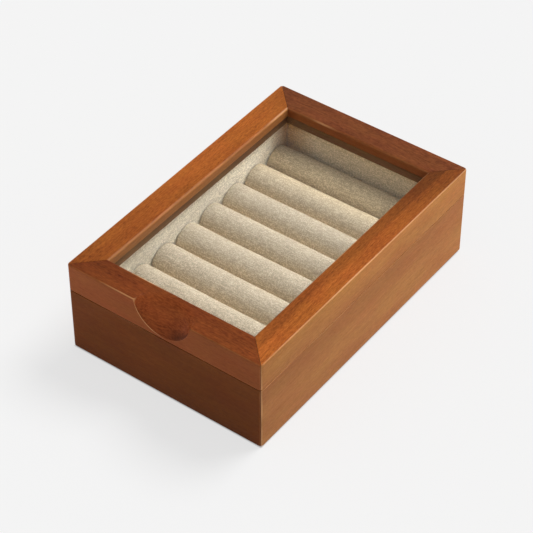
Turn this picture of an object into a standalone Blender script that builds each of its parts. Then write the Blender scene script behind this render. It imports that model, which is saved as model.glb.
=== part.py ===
# Ring box of solid wood with a hinged, glazed lid.
# Metres, +Z up. The origin is the middle of the footprint, on the surface the box stands on.
# +Y points from the finger notch to the hinges.

import math

import bmesh
import bpy
from mathutils import Matrix, Vector

MM = 0.001

# Fits between pieces
fit_gap = 0.3 * MM          # between pieces that seat on each other
mitre_gap = 0.2 * MM        # across a mitred corner
overrun = 5 * MM            # how far a cut runs past the wood
weld_distance = 0.01 * MM   # points closer than this are one point

# Outside of the box
box_width = 135 * MM        # along X
box_length = 203 * MM       # along Y
base_height = 44.6 * MM     # from the floor to the rim of the base
lid_height = 19 * MM
seam_gap = 0.4 * MM         # shadow line between base and lid

# Rounded edges of the wood
corner_radius = 1.5 * MM    # the four upright corners
top_arris = 1.3 * MM        # outer edge of the lid's top
window_arris = 0.7 * MM     # inner edge of the lid's top
seam_arris = 0.5 * MM       # edges on both sides of the seam
foot_arris = 0.8 * MM       # bottom edge of the base

# Base
wall_thickness = 10 * MM
felt_thickness = 0.9 * MM
felt_inset = 3 * MM         # the felt stays back from the outside faces
felt_corner = 4 * MM
panel_thickness = 4 * MM
panel_rebate = 4 * MM       # how far the bottom panel enters the walls

# Lid
rail_width = 17 * MM        # seen from above
rail_lip = 6 * MM           # wood above the glass
glass_thickness = 2 * MM
glass_arris = 0.3 * MM
bead_setback = 2 * MM       # the bead stays back from the rail's inner edge
bead_height = 5.6 * MM

# Finger notch, a scoop in the front rail
notch_width = 39 * MM       # along the lid's top edge, between the shoulders
notch_shoulder = 3 * MM     # radius by which it runs out into that edge
notch_lip = 1.4 * MM        # wood left below it on the front face
notch_reach = 11 * MM       # into the top face

# Lining
liner_thickness = 2.7 * MM
liner_arris = 0.8 * MM

# Ring rolls
roll_count = 8
roll_gap = 0.6 * MM         # between one roll and the next
roll_end_gap = 0.5 * MM     # between a roll's end and the lining
roll_draw = 1.2 * MM        # how far the wrapped ends draw in
roll_foot_radius = 1.5 * MM
crest_below_rim = 8 * MM    # top of the rolls below the rim of the base
front_roll_share = 0.885    # width of the roll under the front rail, against the others
board_thickness = 2 * MM    # the card that the rolls are glued to
spacer_thickness = 4.5 * MM # the foam under the card

# Stop hinges: the bevelled heels of the two leaves meet when the lid stands open
hinge_inset = 35 * MM       # from a side face to the middle of a hinge
stop_angle = math.radians(95)
stop_gap = 0.1 * MM         # left between the heels at the stop
leaf_length = 25 * MM       # along X
leaf_reach = 8.3 * MM       # from the pin into the box
leaf_thickness = 3 * MM
knuckle_radius = 1.9 * MM
middle_knuckle_length = 9 * MM
pin_radius = 0.8 * MM
pin_chamfer = 0.2 * MM

# Countersunk screws of the hinges
screw_from_end = 5 * MM     # from an end of the leaf to the middle of a screw
screw_from_pin = 5.2 * MM
screw_length = 10 * MM
screw_head_radius = 1.6 * MM
screw_head_height = 0.9 * MM
screw_shank_radius = 0.7 * MM
screw_tip = 1.5 * MM
screw_sink = 0.2 * MM       # the head lies this far below the leaf

# Fineness of round shapes
arris_segments = 3
turning_steps = 24
notch_steps = 32
shoulder_steps = 6
screw_steps = 16
roll_arc_steps = 16

# Heights and places that follow from the sizes above
base_low = felt_thickness + fit_gap
panel_top = base_low + panel_thickness
lid_low = base_height + seam_gap
lid_top = lid_low + lid_height
ledge_height = lid_top - rail_lip
glass_low = ledge_height - fit_gap - glass_thickness
bead_top = glass_low - fit_gap
bead_low = bead_top - bead_height
notch_drop = lid_height - notch_lip
liner_low = panel_top + fit_gap
liner_top = bead_low - fit_gap
spacer_low = panel_top + fit_gap
spacer_top = spacer_low + spacer_thickness
board_top = spacer_top + fit_gap + board_thickness
roll_low = board_top + fit_gap
roll_height = base_height - crest_below_rim - roll_low

cavity_width = box_width - 2 * wall_thickness
cavity_length = box_length - 2 * wall_thickness
lined_width = cavity_width - 2 * (fit_gap + liner_thickness)
lined_length = cavity_length - 2 * (fit_gap + liner_thickness)
window_width = box_width - 2 * rail_width
window_length = box_length - 2 * rail_width
roll_pitch = lined_length / (roll_count - 1 + front_roll_share)
roll_width = roll_pitch - roll_gap
front_roll_width = roll_pitch * front_roll_share - roll_gap
roll_length = lined_width - 2 * roll_end_gap

hinge_axis = Vector((0, box_length / 2, base_height + seam_gap / 2))
hinge_sides = {"left": -1, "right": 1}

# A flat outline drawn in XY and thickened in Z turns to stand in YZ and run along X
ALONG_X = (math.pi / 2, 0, math.pi / 2)
# A round piece turned about Z comes to lie along X
AXIS_ON_X = (0, math.pi / 2, 0)
UPSIDE_DOWN = (math.pi, 0, 0)

# Finishes: sRGB colour, roughness, metallic
FINISHES = {
    "wood_long_rail": ("a65c2a", 0.42, 0),
    "wood_short_rail": ("7a3d20", 0.42, 0),
    "wood_long_wall": ("a46f43", 0.45, 0),
    "wood_short_wall": ("7a4a29", 0.45, 0),
    "bead_wood": ("2e1c12", 0.55, 0),
    "panel_wood": ("b58a5e", 0.7, 0),
    "felt": ("2b2422", 0.95, 0),
    "linen": ("cdbfa6", 0.92, 0),
    "card": ("8d8272", 0.9, 0),
    "foam": ("6f6a62", 0.95, 0),
    "glass": ("eef4f1", 0.03, 0),
    "brass": ("c69a4e", 0.3, 1),
    "screw_brass": ("b5883f", 0.35, 1),
}


def clear_scene():
    for obj in list(bpy.data.objects):
        bpy.data.objects.remove(obj)


def new_collection(name):
    collection = bpy.data.collections.new(name)
    bpy.context.scene.collection.children.link(collection)
    return collection


def linear(channel):
    """One sRGB channel, 0 to 1, as linear light."""
    if channel <= 0.04045:
        return channel / 12.92
    return ((channel + 0.055) / 1.055) ** 2.4


def make_material(name, finish):
    hex_colour, roughness, metallic = FINISHES[finish]
    channels = [int(hex_colour[i:i + 2], 16) / 255 for i in (0, 2, 4)]
    material = bpy.data.materials.new(name)
    material.use_nodes = True
    shader = material.node_tree.nodes["Principled BSDF"]
    shader.inputs["Base Color"].default_value = [linear(c) for c in channels] + [1]
    shader.inputs["Roughness"].default_value = roughness
    shader.inputs["Metallic"].default_value = metallic
    if finish == "glass":
        shader.inputs["Transmission Weight"].default_value = 1
    return material


class Assembly:
    """Holds the two collections and the empty on the hinge axis."""

    def __init__(self):
        clear_scene()
        self.parts = new_collection("ring_box")
        self.cutters = new_collection("cutters")
        self.axis = bpy.data.objects.new("lid_axis", None)
        self.axis.location = hinge_axis
        self.parts.objects.link(self.axis)

    def part(self, name, mesh, finish, location=(0, 0, 0), rotation=(0, 0, 0), on_lid=False):
        obj = bpy.data.objects.new(name, mesh)
        obj.data.materials.clear()
        obj.data.materials.append(make_material(name, finish))
        obj.location = Vector(location)
        obj.rotation_euler = rotation
        if on_lid:
            obj.parent = self.axis
            obj.location -= hinge_axis
        self.parts.objects.link(obj)
        return obj

    def cutter(self, name, mesh, location=(0, 0, 0), rotation=(0, 0, 0)):
        obj = bpy.data.objects.new(name, mesh)
        obj.location = location
        obj.rotation_euler = rotation
        obj.hide_render = True
        obj.display_type = "WIRE"
        self.cutters.objects.link(obj)
        return obj


def add_boolean(obj, other, operation="DIFFERENCE"):
    modifier = obj.modifiers.new(other.name, "BOOLEAN")
    modifier.operation = operation
    modifier.solver = "EXACT"
    modifier.object = other


def evaluated_mesh(obj):
    """The object's mesh with its modifiers applied, as a mesh of its own."""
    bpy.context.view_layer.update()
    shown = obj.evaluated_get(bpy.context.evaluated_depsgraph_get())
    return bpy.data.meshes.new_from_object(shown)


def mesh_of(bm, name):
    mesh = bpy.data.meshes.new(name)
    bm.to_mesh(mesh)
    bm.free()
    return mesh


def smooth_shading(mesh, sharp_angle=math.radians(40)):
    mesh.shade_smooth()
    mesh.set_sharp_from_angle(angle=sharp_angle)


def round_edges(bm, edges, radius):
    bmesh.ops.bevel(bm, geom=edges, offset=radius, offset_type="OFFSET",
                    segments=arris_segments, profile=0.5, affect="EDGES")
    bm.normal_update()


def cube(size):
    bm = bmesh.new()
    bmesh.ops.create_cube(bm, size=1)
    bmesh.ops.scale(bm, vec=Vector(size), verts=bm.verts)
    bm.normal_update()
    return bm


def facing(bm, direction):
    """The face that looks most in one direction."""
    return max(bm.faces, key=lambda face: face.normal.dot(direction))


def block_mesh(name, size, upright=0, top=0, bottom=0):
    """A block whose upright, top and bottom edges are rounded by the radii given."""
    bm = cube(size)
    if upright:
        standing = [e for e in bm.edges if e.verts[0].co.z * e.verts[1].co.z < 0]
        round_edges(bm, standing, upright)
    for radius, side in ((top, 1), (bottom, -1)):
        if radius:
            round_edges(bm, list(facing(bm, Vector((0, 0, side))).edges), radius)
    return mesh_of(bm, name)


def plate_mesh(name, outline, thickness):
    """A flat outline in XY, thickened evenly to both sides in Z."""
    curve = bpy.data.curves.new(name, "CURVE")
    curve.dimensions = "2D"
    curve.fill_mode = "BOTH"
    curve.extrude = thickness / 2
    spline = curve.splines.new("POLY")
    spline.points.add(len(outline) - 1)
    for point, (x, y) in zip(spline.points, outline):
        point.co = (x, y, 0, 1)
    spline.use_cyclic_u = True
    drawn = bpy.data.objects.new(name, curve)
    bpy.context.scene.collection.objects.link(drawn)
    bm = bmesh.new()
    flat = evaluated_mesh(drawn)
    bm.from_mesh(flat)
    bmesh.ops.remove_doubles(bm, verts=bm.verts, dist=weld_distance)
    bmesh.ops.dissolve_limit(bm, angle_limit=math.radians(1), verts=bm.verts, edges=bm.edges)
    bmesh.ops.recalc_face_normals(bm, faces=bm.faces)
    bpy.data.objects.remove(drawn)
    return mesh_of(bm, name)


def turned_mesh(name, profile, steps):
    """A solid turned about Z from (radius, height) points that run from top to bottom."""
    bm = bmesh.new()
    points = [bm.verts.new((radius, 0, height)) for radius, height in profile]
    for upper, lower in zip(points, points[1:]):
        bm.edges.new((upper, lower))
    lathe = bpy.data.objects.new(name, mesh_of(bm, name))
    bpy.context.scene.collection.objects.link(lathe)
    screw = lathe.modifiers.new("turning", "SCREW")
    screw.steps = screw.render_steps = steps
    screw.use_merge_vertices = True
    screw.merge_threshold = weld_distance
    mesh = evaluated_mesh(lathe)
    bpy.data.objects.remove(lathe)
    smooth_shading(mesh)
    return mesh


def cylinder_mesh(name, radius, length, steps):
    bm = bmesh.new()
    bmesh.ops.create_cone(bm, cap_ends=True, segments=steps, radius1=radius, radius2=radius,
                          depth=length)
    return mesh_of(bm, name)


def arc_radius(chord, rise):
    """Radius of the circle whose arc has this chord and this rise."""
    return ((chord / 2) ** 2 + rise ** 2) / (2 * rise)


def arc(x, y, radius, first, last, steps):
    """Points round a centre, from one angle to another."""
    turns = (first + (last - first) * i / steps for i in range(steps + 1))
    return [(x + radius * math.cos(a), y + radius * math.sin(a)) for a in turns]


# Mitred frames

def sector_mesh(name, across, outward, half_across, half_along, depth, height):
    """The wedge of a mitred frame that belongs to one side.

    across is 0 where the side faces X and 1 where it faces Y, and outward is -1 or 1.
    """
    shift = mitre_gap / math.sqrt(2)
    outer, inner = half_across + overrun, half_across - depth
    far, near = half_along + overrun - shift, half_along - depth - shift
    outline = [(outer, -far), (outer, far), (inner, near), (inner, -near)]
    if across:
        outline = [(y, x) for x, y in outline]
    return plate_mesh(name, [(outward * x, outward * y) for x, y in outline], height)


def mitred_frame(box, names, ring, width, length, depth, height, middle, finishes, on_lid):
    """Splits a closed ring into its four mitred pieces."""
    sides = (("left", 0, -1), ("right", 0, 1), ("front", 1, -1), ("back", 1, 1))
    pieces = {}
    for side, across, outward in sides:
        halves = (length / 2, width / 2) if across else (width / 2, length / 2)
        name = names.format(side)
        wedge = sector_mesh(name + "_wedge", across, outward, *halves, depth, height)
        cutter = box.cutter(name + "_wedge", wedge, location=(0, 0, middle))
        piece = box.part(name, ring.copy(), finishes[across], location=(0, 0, middle),
                         on_lid=on_lid)
        add_boolean(piece, cutter, "INTERSECT")
        pieces[side] = piece
    return pieces


def ring_mesh(box, name, outer, openings, middle):
    """A block with upright openings, each (width, length, low, high), cut through it."""
    blank = box.cutter(name, outer, location=(0, 0, middle))
    for number, (width, length, low, high) in enumerate(openings):
        opening = block_mesh(name + "_opening", (width, length, high - low))
        cutter = box.cutter("{}_opening_{}".format(name, number), opening,
                            location=(0, 0, (low + high) / 2))
        add_boolean(blank, cutter)
    mesh = evaluated_mesh(blank)
    bpy.data.objects.remove(blank)
    return mesh


def round_window(mesh):
    """Rounds the inner edge of the lid's top."""
    bm = bmesh.new()
    bm.from_mesh(mesh)
    bmesh.ops.dissolve_limit(bm, angle_limit=math.radians(1), verts=bm.verts, edges=bm.edges)
    edge_of_window = []
    for edge in bm.edges:
        ends = [v.co for v in edge.verts]
        on_top = all(abs(p.z - lid_height / 2) < weld_distance for p in ends)
        inside = all(abs(p.x) < window_width / 2 + weld_distance
                     and abs(p.y) < window_length / 2 + weld_distance for p in ends)
        if on_top and inside:
            edge_of_window.append(edge)
    round_edges(bm, edge_of_window, window_arris)
    bm.to_mesh(mesh)
    bm.free()


# Pieces of the base

def base_walls(box):
    height = base_height - base_low
    middle = (base_height + base_low) / 2
    outer = block_mesh("base_ring", (box_width, box_length, height), upright=corner_radius,
                       top=seam_arris, bottom=foot_arris)
    openings = [
        (cavity_width, cavity_length, base_low - overrun, base_height + overrun),
        (cavity_width + 2 * panel_rebate, cavity_length + 2 * panel_rebate,
         base_low - overrun, panel_top + fit_gap),
    ]
    ring = ring_mesh(box, "base_ring", outer, openings, middle)
    return mitred_frame(box, "base_wall_{}", ring, box_width, box_length,
                        wall_thickness + overrun, height + 2 * overrun, middle,
                        ("wood_long_wall", "wood_short_wall"), on_lid=False)


def bottom_panel(box):
    clearance = 2 * (panel_rebate - fit_gap)
    size = (cavity_width + clearance, cavity_length + clearance, panel_thickness)
    box.part("bottom_panel", block_mesh("bottom_panel", size), "panel_wood",
             location=(0, 0, base_low + panel_thickness / 2))


def base_felt(box):
    size = (box_width - 2 * felt_inset, box_length - 2 * felt_inset, felt_thickness)
    box.part("base_felt", block_mesh("base_felt", size, upright=felt_corner), "felt",
             location=(0, 0, felt_thickness / 2))


# Pieces inside the base

def liners(box):
    height = liner_top - liner_low
    middle = (liner_top + liner_low) / 2
    long_size = (liner_thickness, cavity_length - 2 * fit_gap, height)
    short_size = (lined_width - 2 * fit_gap, liner_thickness, height)
    across = (cavity_width - liner_thickness) / 2 - fit_gap
    along = (cavity_length - liner_thickness) / 2 - fit_gap
    places = (("left", long_size, (-across, 0)), ("right", long_size, (across, 0)),
              ("front", short_size, (0, -along)), ("back", short_size, (0, along)))
    for side, size, (x, y) in places:
        name = "liner_" + side
        box.part(name, block_mesh(name, size, top=liner_arris), "linen",
                 location=(x, y, middle))


def insert_base(box):
    """The foam spacer and the card that carries the rolls."""
    width, length = lined_width - 2 * fit_gap, lined_length - 2 * fit_gap
    spacer = (width, length, spacer_top - spacer_low)
    card = (width, length, board_thickness)
    box.part("insert_spacer", block_mesh("insert_spacer", spacer), "foam",
             location=(0, 0, (spacer_top + spacer_low) / 2))
    box.part("roll_board", block_mesh("roll_board", card), "card",
             location=(0, 0, board_top - board_thickness / 2))


def roll_outline(width):
    """Section of a ring roll: a flat foot, straight sides and a round crown."""
    crown = width / 2
    foot = roll_foot_radius
    points = arc(0, roll_height - crown, crown, 0, math.pi, roll_arc_steps)
    points += [(-crown, foot), (foot - crown, 0), (crown - foot, 0), (crown, foot)]
    return points


def ring_roll_mesh(name, width):
    """A foam bar wrapped in linen, whose ends draw in a little all round."""
    bm = bmesh.new()
    bm.from_mesh(plate_mesh(name, roll_outline(width), roll_length))
    ends = [edge for side in (1, -1) for edge in facing(bm, Vector((0, 0, side))).edges]
    round_edges(bm, ends, roll_draw)
    mesh = mesh_of(bm, name)
    smooth_shading(mesh)
    return mesh


def ring_rolls(box):
    """A row of rolls that fills the tray, numbered from the front."""
    front_end = -lined_length / 2
    for number in range(1, roll_count + 1):
        name = "ring_roll_{}".format(number)
        width = front_roll_width if number == 1 else roll_width
        y = front_end + (width + roll_gap) / 2
        box.part(name, ring_roll_mesh(name, width), "linen", location=(0, y, roll_low),
                 rotation=ALONG_X)
        front_end += width + roll_gap


# Pieces of the lid

def lid_rails(box):
    middle = (lid_low + lid_top) / 2
    outer = block_mesh("lid_ring", (box_width, box_length, lid_height), upright=corner_radius,
                       top=top_arris, bottom=seam_arris)
    openings = [
        (window_width, window_length, lid_low - overrun, lid_top + overrun),
        (cavity_width, cavity_length, lid_low - overrun, ledge_height),
    ]
    ring = ring_mesh(box, "lid_ring", outer, openings, middle)
    round_window(ring)
    rails = mitred_frame(box, "lid_rail_{}", ring, box_width, box_length,
                         rail_width + overrun, lid_height + 2 * overrun, middle,
                         ("wood_long_rail", "wood_short_rail"), on_lid=True)
    add_boolean(rails["front"], notch_scoop(box))
    return rails


def notch_outline():
    """The notch on the front face, as (x, height): an arc between two round shoulders.

    It is closed by a straight line above the lid.
    """
    radius = arc_radius(notch_width, notch_drop)
    centre = lid_top + radius - notch_drop
    between = radius + notch_shoulder
    lift = centre - lid_top + notch_shoulder
    turn = math.asin(lift / between)
    shoulder_x = between * math.cos(turn)
    right = arc(shoulder_x, lid_top - notch_shoulder, notch_shoulder, math.pi / 2,
                math.pi - turn, shoulder_steps)
    bottom = arc(0, centre, radius, -turn, turn - math.pi, notch_steps)
    left = [(-x, height) for x, height in reversed(right)]
    roof = [(-shoulder_x, lid_top + overrun), (shoulder_x, lid_top + overrun)]
    return right + bottom[1:-1] + left + roof


def notch_scoop(box):
    """The cutter of the notch, which rises from the front face into the top at one slope."""
    slope = notch_drop / notch_reach
    scoop = plate_mesh("notch_scoop", notch_outline(), 2 * (notch_reach + overrun))
    scoop.transform(Matrix(((1, 0, 0, 0), (0, 0, -1, 0), (0, 1, -slope, 0), (0, 0, 0, 1))))
    return box.cutter("notch_scoop", scoop, location=(0, -box_length / 2, 0))


def lid_glass(box):
    size = (cavity_width - 2 * fit_gap, cavity_length - 2 * fit_gap, glass_thickness)
    pane = block_mesh("lid_glass", size, top=glass_arris, bottom=glass_arris)
    box.part("lid_glass", pane, "glass", on_lid=True,
             location=(0, 0, glass_low + glass_thickness / 2))


def glass_beads(box):
    width, length = cavity_width - 2 * fit_gap, cavity_length - 2 * fit_gap
    bead_width = rail_width - wall_thickness - fit_gap - bead_setback
    middle = bead_top - bead_height / 2
    outer = block_mesh("bead_ring", (width, length, bead_height))
    opening = (width - 2 * bead_width, length - 2 * bead_width,
               bead_low - overrun, bead_top + overrun)
    ring = ring_mesh(box, "bead_ring", outer, [opening], middle)
    mitred_frame(box, "glass_bead_{}", ring, width, length, bead_width + overrun,
                 bead_height + 2 * overrun, middle, ("bead_wood", "bead_wood"), on_lid=True)


# Hinges

def knuckle_spans():
    """Middle and length along X of the knuckles: the outer two, then the middle one."""
    outer = (leaf_length - middle_knuckle_length) / 2 - fit_gap
    offset = (leaf_length - outer) / 2
    return [(-offset, outer), (offset, outer)], [(0, middle_knuckle_length)]


def leaf_outline(up):
    """Section of a leaf, with the pin at the origin; up is 1 on the lid and -1 on the base.

    The heel behind the pin is bevelled at half the stop angle.
    """
    bevel = stop_angle / 2
    near, far = seam_gap / 2, seam_gap / 2 + leaf_thickness

    def heel(depth):
        return (depth * math.cos(bevel) - stop_gap / 2) / math.sin(bevel)

    points = [(-leaf_reach, near), (heel(near), near), (heel(far), far), (-leaf_reach, far)]
    return [(y, up * z) for y, z in points]


def x_cylinder(box, name, radius, length, centre):
    mesh = cylinder_mesh(name, radius, length, turning_steps)
    return box.cutter(name, mesh, location=centre, rotation=AXIS_ON_X)


def hinge_leaf(box, name, centre, up, own, other, screw_holes):
    plate = plate_mesh(name, leaf_outline(up), leaf_length)
    leaf = box.part(name, plate, "brass", location=centre, rotation=ALONG_X, on_lid=up > 0)
    for number, (x, length) in enumerate(other):
        pocket = x_cylinder(box, "{}_pocket_{}".format(name, number), knuckle_radius + fit_gap,
                            length + 2 * fit_gap, centre + Vector((x, 0, 0)))
        add_boolean(leaf, pocket)
    for number, (x, length) in enumerate(own):
        knuckle = x_cylinder(box, "{}_knuckle_{}".format(name, number), knuckle_radius, length,
                             centre + Vector((x, 0, 0)))
        add_boolean(leaf, knuckle, "UNION")
    bore = x_cylinder(box, name + "_bore", pin_radius + fit_gap, leaf_length + 2 * overrun,
                      centre)
    for cutter in [bore] + screw_holes:
        add_boolean(leaf, cutter)


def hinge_pin(box, name, centre):
    half = leaf_length / 2
    profile = [(0, half), (pin_radius - pin_chamfer, half), (pin_radius, half - pin_chamfer),
               (pin_radius, pin_chamfer - half), (pin_radius - pin_chamfer, -half), (0, -half)]
    box.part(name, turned_mesh(name, profile, turning_steps), "brass", location=centre,
             rotation=AXIS_ON_X)


def screw_profile(clearance, above):
    """A countersunk screw, or its hole where a clearance and a height above it are given."""
    head, shank = screw_head_radius + clearance, screw_shank_radius + clearance
    end = screw_length + clearance
    rim = [(head, above), (head, 0)] if above else [(head, 0)]
    return [(0, above)] + rim + [(shank, -screw_head_height), (shank, screw_tip - end), (0, -end)]


def leaf_screws(box, hinge, leaf, centre, up):
    """Two screws of one leaf, and the holes for them in the leaf and in the wood."""
    flip = UPSIDE_DOWN if up > 0 else (0, 0, 0)
    head_height = up * (seam_gap / 2 + screw_sink)
    from_middle = leaf_length / 2 - screw_from_end
    holes = []
    for number, side in ((1, -1), (2, 1)):
        name = "{}_{}_screw_{}".format(hinge, leaf, number)
        place = centre + Vector((side * from_middle, -screw_from_pin, head_height))
        box.part(name, turned_mesh(name, screw_profile(0, 0), screw_steps), "screw_brass",
                 location=place, rotation=flip, on_lid=up > 0)
        hole = turned_mesh(name + "_hole", screw_profile(fit_gap, overrun), screw_steps)
        holes.append(box.cutter(name + "_hole", hole, location=place, rotation=flip))
    return holes


def leaf_mortise(box, name, centre, up):
    """The pocket in the wood that takes a leaf, open to the back."""
    reach = leaf_reach + fit_gap
    depth = leaf_thickness + fit_gap
    size = (leaf_length + 2 * fit_gap, reach + overrun, depth + overrun)
    middle = centre + Vector((0, (overrun - reach) / 2,
                              up * (seam_gap / 2 + (depth - overrun) / 2)))
    return box.cutter(name + "_mortise", block_mesh(name + "_mortise", size), location=middle)


def hinges(box, back_wall, back_rail):
    outer, middle = knuckle_spans()
    for side, direction in hinge_sides.items():
        hinge = "hinge_" + side
        centre = hinge_axis + Vector((direction * (box_width / 2 - hinge_inset), 0, 0))
        leaves = (("base_leaf", -1, outer, middle, back_wall),
                  ("lid_leaf", 1, middle, outer, back_rail))
        for leaf, up, own, other, wood in leaves:
            name = "{}_{}".format(hinge, leaf)
            holes = leaf_screws(box, hinge, leaf.split("_")[0], centre, up)
            add_boolean(wood, leaf_mortise(box, name, centre, up))
            for hole in holes:
                add_boolean(wood, hole)
            hinge_leaf(box, name, centre, up, own, other, holes)
        hinge_pin(box, hinge + "_pin", centre)


def main():
    box = Assembly()
    walls = base_walls(box)
    bottom_panel(box)
    base_felt(box)
    liners(box)
    insert_base(box)
    ring_rolls(box)
    rails = lid_rails(box)
    lid_glass(box)
    glass_beads(box)
    hinges(box, walls["back"], rails["back"])


main()
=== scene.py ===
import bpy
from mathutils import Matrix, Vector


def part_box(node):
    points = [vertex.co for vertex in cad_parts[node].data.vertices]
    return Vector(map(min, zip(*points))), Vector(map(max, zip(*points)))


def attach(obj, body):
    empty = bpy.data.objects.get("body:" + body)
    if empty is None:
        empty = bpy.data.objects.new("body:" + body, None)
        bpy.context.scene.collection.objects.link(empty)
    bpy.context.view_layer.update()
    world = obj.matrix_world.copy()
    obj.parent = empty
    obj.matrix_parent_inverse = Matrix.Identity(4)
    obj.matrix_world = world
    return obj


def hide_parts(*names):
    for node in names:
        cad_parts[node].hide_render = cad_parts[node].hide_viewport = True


bl_info = {
    "name": "Glazed ring box",
    "version": (1, 0, 0),
    "blender": (4, 5, 0),
    "location": "3D View > Sidebar > Ring Box",
    "description": "Dresses the frame of a ring box with lacquered wood, linen, glass and brass",
    "category": "Object",
}

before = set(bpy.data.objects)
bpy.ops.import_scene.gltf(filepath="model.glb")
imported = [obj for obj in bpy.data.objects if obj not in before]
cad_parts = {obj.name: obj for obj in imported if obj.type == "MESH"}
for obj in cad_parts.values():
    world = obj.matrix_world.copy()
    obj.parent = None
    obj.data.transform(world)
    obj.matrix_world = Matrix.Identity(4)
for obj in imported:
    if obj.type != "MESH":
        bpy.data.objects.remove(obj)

import math
from functools import partial
from typing import NamedTuple

import bmesh
import bpy
import numpy as np
from bpy.props import FloatProperty, FloatVectorProperty, IntProperty, PointerProperty
from mathutils import Vector

MM = 0.001
WHOLE_TURN = 2 * math.pi
RIGHT_ANGLE = math.pi / 2
EIGHTH_TURN = math.pi / 4

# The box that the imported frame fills, before anything is added
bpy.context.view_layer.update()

# Places that every piece takes from the frame
FIT_GAP = 0.3 * MM
half_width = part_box("base_wall_right")[1].x
half_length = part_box("base_wall_back")[1].y
wall_thickness = half_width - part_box("base_wall_right")[0].x
wall_low, rim_height = (corner.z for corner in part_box("base_wall_right"))
rail_width = half_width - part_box("lid_rail_right")[0].x
lid_low, lid_top = (corner.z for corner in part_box("lid_rail_right"))
ledge_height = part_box("lid_glass")[1].z + FIT_GAP
panel_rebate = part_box("bottom_panel")[1].x + FIT_GAP - (half_width - wall_thickness)
panel_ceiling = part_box("bottom_panel")[1].z + FIT_GAP
HINGE_SIDES = ("left", "right")
SIDE_TURNS = {"front": 0, "right": RIGHT_ANGLE, "back": math.pi, "left": -RIGHT_ANGLE}
SHORT_SIDES = ("front", "back")


class BoardLook(NamedTuple):
    """How one side of the box differs from evenly stained wood, as shares of its tone."""
    top_drift: float = 0      # how much paler its top is at the far end than in the middle
    side_drift: float = 0     # the same for its outer side
    inner_shade: float = 0    # how much darker the inner half of a rail's top is
    far_shade: float = 0      # how much darker a rail's top gets towards the far end
    far_start: float = 0.58   # where that starts, in half lengths from the middle
    rub: float = 1            # how strong its pale edges are, partly rubbed wear and partly painted highlight
    inside: float = 0         # how much painted light lies on the face towards the glass, in the pale edge colour
    polish: float = 0         # where a painted highlight lies along the window's edge, in half lengths
    outer_polish: float = 9   # the same for a painted highlight on the outer edge, where 9 is beyond the wood
    banding: float = 0        # 1 where the side has painted shade under the seam and painted light above it


BOARD_LOOKS = {
    "front": BoardLook(top_drift=0.1, side_drift=-0.14, rub=0.3, polish=-0.4, outer_polish=-0.36),
    "right": BoardLook(top_drift=-0.15, side_drift=0.14, inner_shade=0.26, far_shade=0.23,
                       far_start=0.25, rub=1.6, banding=1),
    "back": BoardLook(top_drift=0.1, inside=0.05, polish=-0.33),
    "left": BoardLook(top_drift=0.27, inner_shade=0.04, far_shade=0.34, inside=0.3, polish=0.75)}


def linear(hex_colour):
    """An sRGB hex colour as linear light."""
    channels = [int(hex_colour[i:i + 2], 16) / 255 for i in (0, 2, 4)]
    return [c / 12.92 if c <= 0.04045 else ((c + 0.055) / 1.055) ** 2.4 for c in channels]


def length_setting(name, description, millimetres):
    return FloatProperty(name=name, description=description, default=millimetres * MM,
                         min=0, subtype="DISTANCE", unit="LENGTH")


def colour_setting(name, description, hex_colour):
    return FloatVectorProperty(name=name, description=description, size=3, min=0, max=1,
                               default=linear(hex_colour), subtype="COLOR")


class WoodSettings(bpy.types.PropertyGroup):
    long_rail: colour_setting("Long rails", "Top of the lid's long rails", "a25723")
    # Paler than the top partly as painted light and a painted reflection of the pale room
    long_rail_side: colour_setting("Long rail sides", "Outer faces of the long rails", "b5743c")
    front_rail: colour_setting("Front rail", "Top of the lid's front rail", "753817")
    back_rail: colour_setting("Back rail", "Top of the lid's back rail", "753e21")
    short_rail_side: colour_setting("Short rail sides", "Outer faces of the short rails", "924d26")
    scoop: colour_setting("Scoop", "Inside of the finger notch", "944924")
    # Partly painted light, as on the long rails' sides
    long_wall: colour_setting("Long walls", "Side walls of the base", "b3743e")
    # Darker partly as painted shade, for the front faces away from the lamp
    short_wall: colour_setting("Short walls", "Front and back walls of the base", "71380b")
    bead: colour_setting("Glass beads", "Strips that hold the glass", "73543e")
    # Pale edge colour: partly stain rubbed thin, partly a painted highlight where the lacquered
    # arrises catch the lamp
    worn: colour_setting("Worn edge", "Stain rubbed thin along the edges", "e0a060")
    corner_radius: length_setting("Corner radius", "Upright corners of the box", 2.2)
    top_arris: length_setting("Top arris", "Outer edge of the lid's top", 0.9)
    window_arris: length_setting("Window arris", "Inner edge of the lid's top", 1.5)
    seam_arris: length_setting("Seam arris", "Edges on both sides of the seam", 0.25)
    foot_arris: length_setting("Foot arris", "Bottom edge of the base", 0.4)
    bead_arris: length_setting("Bead arris", "Edges of the glass beads", 0.5)
    mitre_gap: length_setting("Mitre gap", "Line left open across a mitre", 0.2)
    notch_width: length_setting("Notch width", "Finger notch between its shoulders", 39)
    notch_shoulder: length_setting("Notch shoulder", "Radius into the lid's top edge", 3)
    notch_lip: length_setting("Notch lip", "Wood left below the notch", 1.4)
    notch_reach: length_setting("Notch reach", "Finger notch into the top face", 11)
    notch_arris: length_setting("Notch arris", "Edge of the notch on the front face", 1.2)
    notch_ease: length_setting("Notch ease", "Soft edge of the notch in the top face", 8)
    streak_length: length_setting("Streak length", "Length of the grain's streaks", 34)
    streak_width: length_setting("Streak width", "Width of the grain's streaks", 1.3)
    fibre_length: length_setting("Fibre length", "Length of the fine fibres", 3)
    fibre_width: length_setting("Fibre width", "Width of the fine fibres", 0.7)
    ring_spacing: length_setting("Ring spacing", "Distance between the growth rings", 9)
    pore_length: length_setting("Pore length", "Length of the open pores", 2.6)
    pore_width: length_setting("Pore width", "Width of the open pores", 0.45)


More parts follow.
